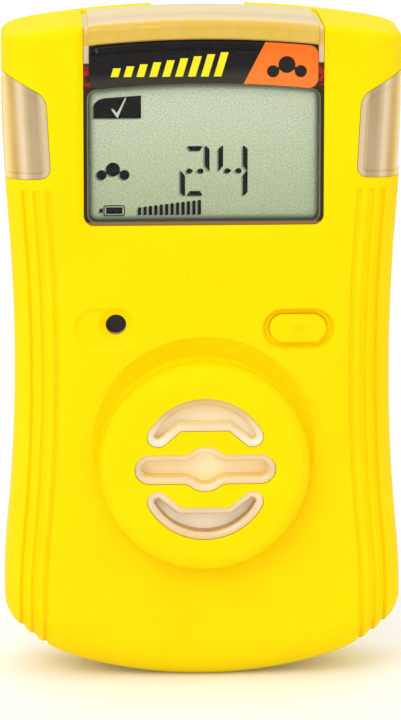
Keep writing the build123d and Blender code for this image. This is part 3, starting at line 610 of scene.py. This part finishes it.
def digit(value, left, foot):
    """Outlines of the lit segments of one digit."""
    right = left + DIGIT_WIDE
    mid_x = left + DIGIT_WIDE / 2
    top = foot + DIGIT_HIGH
    mid_z = foot + DIGIT_HIGH / 2
    inset = 0.84
    slope = 0.36
    upper_right = [
        (right - STROKE, top),
        (right - STROKE, mid_z + 0.62),
        (right, mid_z - 0.1),
        (right, top - 0.42),
        (right - STROKE + 0.2, top),
    ]
    bar = [
        (left + inset, top),
        (left + inset + slope, top - STROKE),
        (right - inset - slope, top - STROKE),
        (right - inset, top),
    ]
    half = [
        (left + 0.78, mid_z + 0.12),
        (left + 0.78, mid_z - STROKE / 2),
        (left + 1.3, mid_z - STROKE / 2),
        (mid_x - 0.2, mid_z),
        (left + 1.3, mid_z + STROKE / 2),
        (left + 0.92, mid_z + STROKE / 2),
    ]
    shapes = {
        "a": [bar],
        "b": [upper_right],
        "c": [flipped(upper_right, mid_z)],
        "d": [flipped(bar, mid_z)],
        "e": [flipped(mirrored(upper_right, mid_x), mid_z)],
        "f": [mirrored(upper_right, mid_x)],
        "g": [half, mirrored(half, mid_x)],
    }
    return [outline for name in SEGMENTS_ON[value] for outline in shapes[name]]


def display_marks():
    """All that the display shows: a number, a tick on a flag, a battery, a molecule sign and a scale of bars."""
    number = digit(2, -2.90, 62.26) + digit(4, 1.86, 62.26)
    flag = [
        (-13.71, 72.09), (-7.77, 72.09), (-7.77, 74.95), (-12.5, 74.62),
        (-13.1, 74.4), (-13.5, 74.05), (-13.71, 73.6),
    ]
    battery_case = rounded_box(-12.5, 59.77, -9.84, 61.13, 0.3)
    battery_gap = rounded_box(-12.36, 59.9, -9.98, 61.0, 0.2)
    battery = [rounded_box(-12.2, 60.02, -10.14, 60.88, 0.06), rounded_box(-13.0, 60.2, -12.6, 60.72, 0.06)]
    sign = molecule(-11.3, 64.95, 1.75)
    scale = [
        rounded_box(-8.2 + 0.68 * i, 59.85, -7.78 + 0.68 * i, 60.85 + 0.08 * i, 0.1)
        for i in range(12)
    ]
    tick = [
        (-11.5, 73.2), (-11.3, 73.32), (-10.78, 72.75), (-9.75, 74.68),
        (-9.62, 74.62), (-10.66, 72.2), (-10.8, 72.2),
    ]
    return number, flag, battery_case, battery_gap, battery, sign, scale, tick


def make_display(materials):
    """The marks on the display and the soft shadow that they throw behind them."""
    ink = lcd_ink()
    shade = lcd_shadow()
    number, flag, battery_case, battery_gap, battery, sign, scale, tick = display_marks()
    face = LCD_LOW.y
    dark = number + [flag, battery_case] + battery + sign + scale
    shifted = [[(x - SHADOW_LEFT, z - SHADOW_DOWN) for x, z in outline] for outline in dark]
    plate("display_shadows", shifted, face - 0.012 * MM, 0.02 * MM, shade)
    plate("display_digits", number, face - 0.03 * MM, 0.03 * MM, ink)
    plate("display_signs", [flag, battery_case] + sign + scale, face - 0.03 * MM, 0.03 * MM, ink)
    plate("display_openings", [battery_gap, tick], face - 0.036 * MM, 0.02 * MM, materials["lcd"])
    plate("display_charge", battery, face - 0.042 * MM, 0.02 * MM, ink)


def make_label_marks():
    """Plain pictograms on the label: a rising level in yellow on the black, a molecule in black on the flag."""
    face = LABEL_LOW.y
    finish = {"roughness": 0.2, "per_mm": 2.0, "Specular_IOR_Level": 0.22}
    yellow = plain_plastic("label_ink_yellow", (0.85, 0.72, 0.01), (0.95, 0.82, 0.02), **finish)()
    black = plain_plastic("label_ink_black", (0.010, 0.006, 0.004), (0.018, 0.010, 0.008), **finish)()
    foot = 77.5
    wide = 0.95
    levels = []
    for i in range(9):
        left = -11.6 + 1.6 * i
        high = 1.1 + 0.24 * i
        lean = 0.3 * high
        head = foot + high
        levels.append([(left, foot), (left + wide, foot), (left + wide + lean, head), (left + lean, head)])
    plate("label_levels", levels, face - 0.02 * MM, 0.05 * MM, yellow)
    plate("label_molecule", molecule(10.3, 78.1, 2.1), face - 0.02 * MM, 0.05 * MM, black)


# Floor, lights and camera

FLOOR_REACH = 1.5
HORIZON_LIGHT = 0.5
ZENITH_LIGHT = 1.35
# Where the camera looks, in millimetres; its distance in metres, angles in degrees and focal length in millimetres
CAMERA_TARGET = (0.0165, 0.0, 39.558)
CAMERA_DISTANCE = 0.6
CAMERA_RISE = 11.5
CAMERA_TURN = -2.6
CAMERA_LENS = 234.77


def make_floor():
    """A wide pale sweep under the object."""
    mesh = bpy.data.meshes.new("floor")
    bm = bmesh.new()
    corners = ((-1, -1), (1, -1), (1, 1), (-1, 1))
    bm.faces.new([bm.verts.new((x * FLOOR_REACH, y * FLOOR_REACH, cad_low.z)) for x, y in corners])
    bm.to_mesh(mesh)
    bm.free()
    t = Tree("pale_floor")
    speck = t.noise(0.02, 2.0)
    colour = t.ramp(speck, ((0.3, (0.90, 0.895, 0.88)), (0.7, (0.92, 0.915, 0.90))))
    mesh.materials.append(t.done(t.surface(
        colour, 0.6,
        Specular_IOR_Level=0.2,
        Emission_Color=WHITE,
        Emission_Strength=0.06,
    )))
    floor = bpy.data.objects.new("floor", mesh)
    bpy.context.scene.collection.objects.link(floor)


def aimed(obj, place, target):
    """Put an object at a place, looking at a target."""
    obj.location = place
    obj.rotation_euler = (Vector(target) - Vector(place)).to_track_quat("-Z", "Y").to_euler()


def soft_box(name, place, target, size, power):
    """A square white area light."""
    light = bpy.data.lights.new(name, "AREA")
    light.size = size
    light.energy = power
    lamp = bpy.data.objects.new(name, light)
    bpy.context.scene.collection.objects.link(lamp)
    aimed(lamp, place, target)


def make_lights():
    """Light tent: soft white surroundings, brighter overhead, and one soft box from the upper left front."""
    world = bpy.data.worlds.new("light_tent")
    world.use_nodes = True
    nodes = world.node_tree.nodes
    links = world.node_tree.links
    coords = nodes.new("ShaderNodeTexCoord")
    split = nodes.new("ShaderNodeSeparateXYZ")
    level = nodes.new("ShaderNodeMapRange")
    level.inputs["To Min"].default_value = HORIZON_LIGHT
    level.inputs["To Max"].default_value = ZENITH_LIGHT
    links.new(coords.outputs["Generated"], split.inputs[0])
    links.new(split.outputs["Z"], level.inputs["Value"])
    links.new(level.outputs[0], nodes["Background"].inputs["Strength"])
    nodes["Background"].inputs["Color"].default_value = WHITE
    bpy.context.scene.world = world
    centre = Vector((0, 0, (cad_low.z + cad_high.z) / 2))
    soft_box("softbox_front", centre + Vector((-0.2, -0.4, 0.35)), centre, 0.3, 0.75)


def make_camera():
    """Long lens, slightly above and to the left of the front."""
    target = Vector(CAMERA_TARGET) * MM
    rise = math.radians(CAMERA_RISE)
    turn = math.radians(CAMERA_TURN)
    lens = bpy.data.cameras.new("camera")
    lens.lens = CAMERA_LENS
    lens.sensor_width = 36.0
    lens.clip_start = 0.01
    lens.clip_end = 10.0
    camera = bpy.data.objects.new("camera", lens)
    bpy.context.scene.collection.objects.link(camera)
    way = Vector((math.sin(turn) * math.cos(rise), -math.cos(turn) * math.cos(rise), math.sin(rise)))
    aimed(camera, target + way * CAMERA_DISTANCE, target)
    bpy.context.scene.camera = camera


slot_materials = dress_frame()
make_display(slot_materials)
make_label_marks()
make_floor()
make_lights()
make_camera()
bpy.context.scene.view_settings.view_transform = "Standard"
